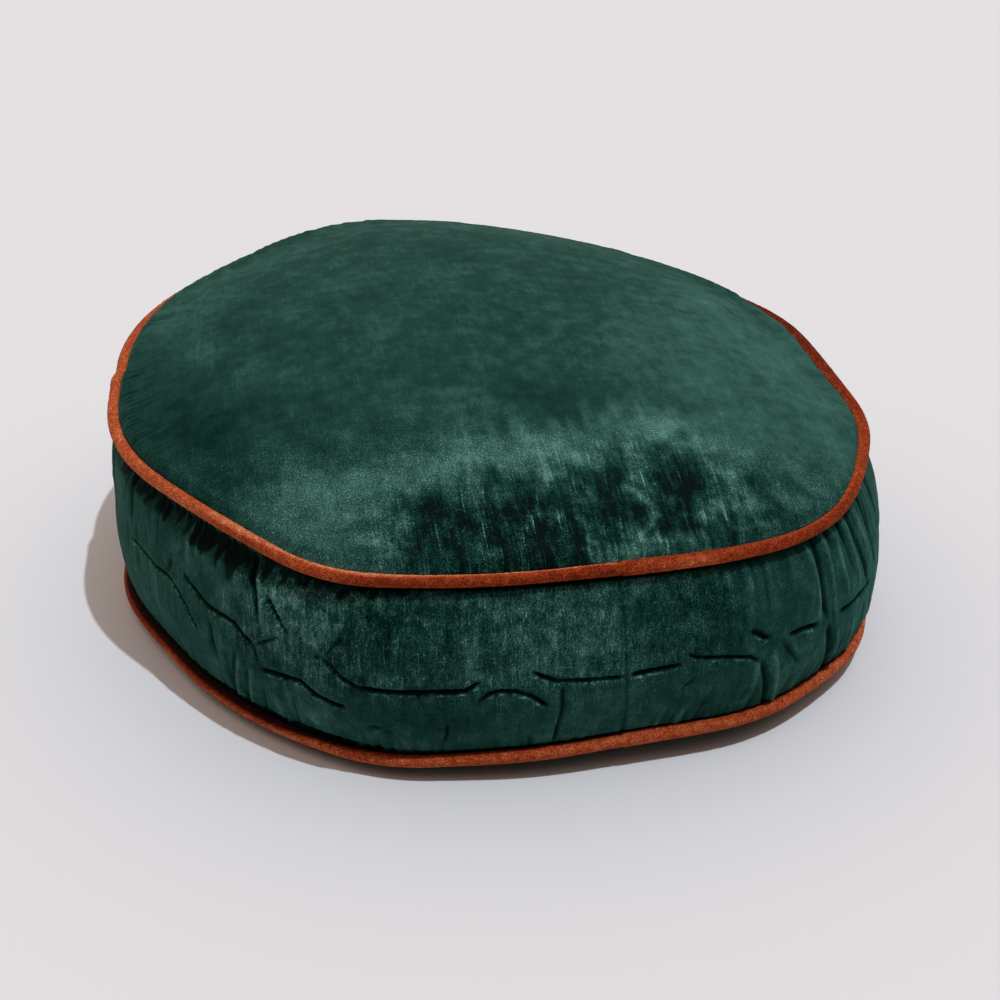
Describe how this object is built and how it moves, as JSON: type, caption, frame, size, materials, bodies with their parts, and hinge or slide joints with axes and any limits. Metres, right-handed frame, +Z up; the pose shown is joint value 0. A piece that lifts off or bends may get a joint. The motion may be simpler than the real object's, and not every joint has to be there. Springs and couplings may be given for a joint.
{
  "type": "round seat cushion",
  "caption": "Round boxed seat cushion in dark green crushed velvet, with a crowned top, a gathered side band and rust velvet piping in both seams",
  "frame": {"origin": "the middle of the flat base that the cushion lies on, at the surface", "axes": "+Z up through the crown; +X and +Y in the plane of the surface, with the side that shows, where the band is joined, towards -Y"},
  "size_m": [0.4532, 0.4715, 0.1627],
  "materials": {
    "green_velvet": "crushed velvet, dark bottle green, soft sheen, matt in the folds",
    "rust_velvet": "short-pile velvet, rust orange, wrapped round a cord"
  },
  "bodies": {
    "root": {"cushion": "green_velvet", "piping_top": "rust_velvet", "piping_bottom": "rust_velvet"}
  },
  "joints": []
}
